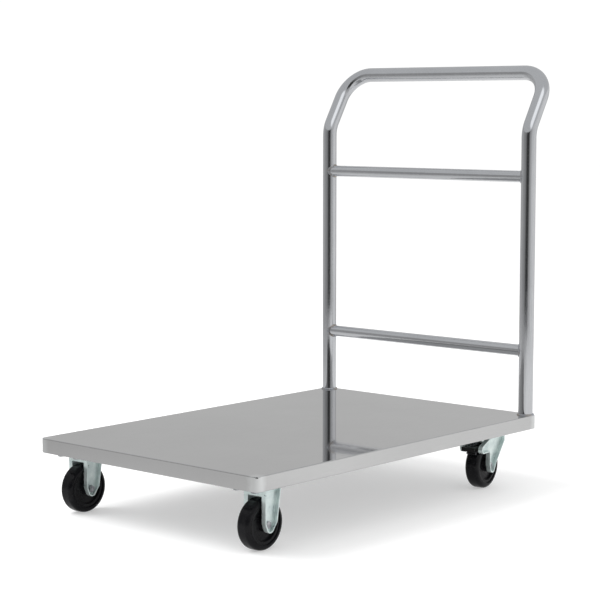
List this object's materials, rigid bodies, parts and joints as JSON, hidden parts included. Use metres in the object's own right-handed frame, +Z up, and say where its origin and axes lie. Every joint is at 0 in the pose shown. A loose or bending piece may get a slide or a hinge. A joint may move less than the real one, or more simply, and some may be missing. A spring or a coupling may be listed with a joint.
{
  "type": "platform luggage cart",
  "caption": "Flatbed luggage cart with a folded stainless steel deck, fixed front casters, braked swivel rear casters and a bent-tube push handle with crossbars.",
  "frame": {"origin": "on the floor under the middle of the whole cart, so the wheels stand on z = 0", "axes": "+X along the cart from the front of the deck to the push handle, +Y across it to the right caster of someone who pushes, +Z up"},
  "size_m": [0.974, 0.6, 0.913],
  "materials": {
    "deck_steel": "satin rolled stainless steel with a half-mirror sheen",
    "channel_steel": "plain folded sheet",
    "tube_steel": "polished stainless tube",
    "weld_steel": "ground weld bead",
    "zinc_steel": "bright zinc plate with a blue-green tint",
    "bolt_steel": "zinc-plated fastener",
    "bearing_steel": "hardened and ground",
    "wheel_core": "moulded, half gloss",
    "tyre_black": "moulded, glossy",
    "brake_black": "moulded, matte",
    "shoe_steel": "pressed, dark"
  },
  "bodies": {
    "frame": {"deck_tray": "deck_steel", "front_channel": "channel_steel", "centre_channel": "channel_steel", "rear_channel": "channel_steel", "handle_tube": "tube_steel", "upper_crossbar": "tube_steel", "lower_crossbar": "tube_steel", "post_welds": "weld_steel", "crossbar_welds": "weld_steel", "caster_bolts": "bolt_steel", "caster_washers": "bolt_steel", "caster_nuts": "bolt_steel", "front_left_plate": "zinc_steel", "front_left_fork": "zinc_steel", "front_left_axle_bolt": "bolt_steel", "front_left_axle_nut": "bolt_steel", "front_left_bush": "bearing_steel", "front_right_plate": "zinc_steel", "front_right_fork": "zinc_steel", "front_right_axle_bolt": "bolt_steel", "front_right_axle_nut": "bolt_steel", "front_right_bush": "bearing_steel", "rear_left_plate": "zinc_steel", "rear_left_race_cup": "zinc_steel", "rear_left_kingpin": "bearing_steel", "rear_left_kingpin_nut": "bolt_steel", "rear_right_plate": "zinc_steel", "rear_right_race_cup": "zinc_steel", "rear_right_kingpin": "bearing_steel", "rear_right_kingpin_nut": "bolt_steel"},
    "front_left_wheel": {"front_left_wheel_core": "wheel_core", "front_left_tyre": "tyre_black"},
    "front_right_wheel": {"front_right_wheel_core": "wheel_core", "front_right_tyre": "tyre_black"},
    "rear_left_swivel": {"rear_left_balls": "bearing_steel", "rear_left_fork": "zinc_steel", "rear_left_axle_bolt": "bolt_steel", "rear_left_axle_nut": "bolt_steel", "rear_left_bush": "bearing_steel", "rear_left_brake_pin": "bolt_steel", "rear_left_brake_spring": "shoe_steel"},
    "rear_left_wheel": {"rear_left_wheel_core": "wheel_core", "rear_left_tyre": "tyre_black"},
    "rear_left_brake": {"rear_left_brake_pedal": "brake_black", "rear_left_brake_shoe": "shoe_steel"},
    "rear_right_swivel": {"rear_right_balls": "bearing_steel", "rear_right_fork": "zinc_steel", "rear_right_axle_bolt": "bolt_steel", "rear_right_axle_nut": "bolt_steel", "rear_right_bush": "bearing_steel", "rear_right_brake_pin": "bolt_steel", "rear_right_brake_spring": "shoe_steel"},
    "rear_right_wheel": {"rear_right_wheel_core": "wheel_core", "rear_right_tyre": "tyre_black"},
    "rear_right_brake": {"rear_right_brake_pedal": "brake_black", "rear_right_brake_shoe": "shoe_steel"}
  },
  "joints": [
    {"name": "front_left_spin", "type": "hinge", "parent": "frame", "child": "front_left_wheel", "pos_m": [-0.42, -0.245, 0.05], "axis": [0, 1, 0], "continuous": true},
    {"name": "front_right_spin", "type": "hinge", "parent": "frame", "child": "front_right_wheel", "pos_m": [-0.42, 0.245, 0.05], "axis": [0, 1, 0], "continuous": true},
    {"name": "rear_left_swivel_turn", "type": "hinge", "parent": "frame", "child": "rear_left_swivel", "pos_m": [0.342, -0.222, 0.112], "axis": [0, 0, 1], "continuous": true},
    {"name": "rear_left_spin", "type": "hinge", "parent": "rear_left_swivel", "child": "rear_left_wheel", "pos_m": [0.31222, -0.22566, 0.05], "axis": [-0.1219, 0.9925, 0], "continuous": true},
    {"name": "rear_left_brake_press", "type": "hinge", "parent": "rear_left_swivel", "child": "rear_left_brake", "pos_m": [0.27351, -0.23041, 0.091], "axis": [0.1219, -0.9925, 0], "range_deg": [0, 15]},
    {"name": "rear_right_swivel_turn", "type": "hinge", "parent": "frame", "child": "rear_right_swivel", "pos_m": [0.342, 0.222, 0.112], "axis": [0, 0, 1], "continuous": true},
    {"name": "rear_right_spin", "type": "hinge", "parent": "rear_right_swivel", "child": "rear_right_wheel", "pos_m": [0.31222, 0.22566, 0.05], "axis": [0.1219, 0.9925, 0], "continuous": true},
    {"name": "rear_right_brake_press", "type": "hinge", "parent": "rear_right_swivel", "child": "rear_right_brake", "pos_m": [0.27351, 0.23041, 0.091], "axis": [-0.1219, -0.9925, 0], "range_deg": [0, 15]}
  ]
}
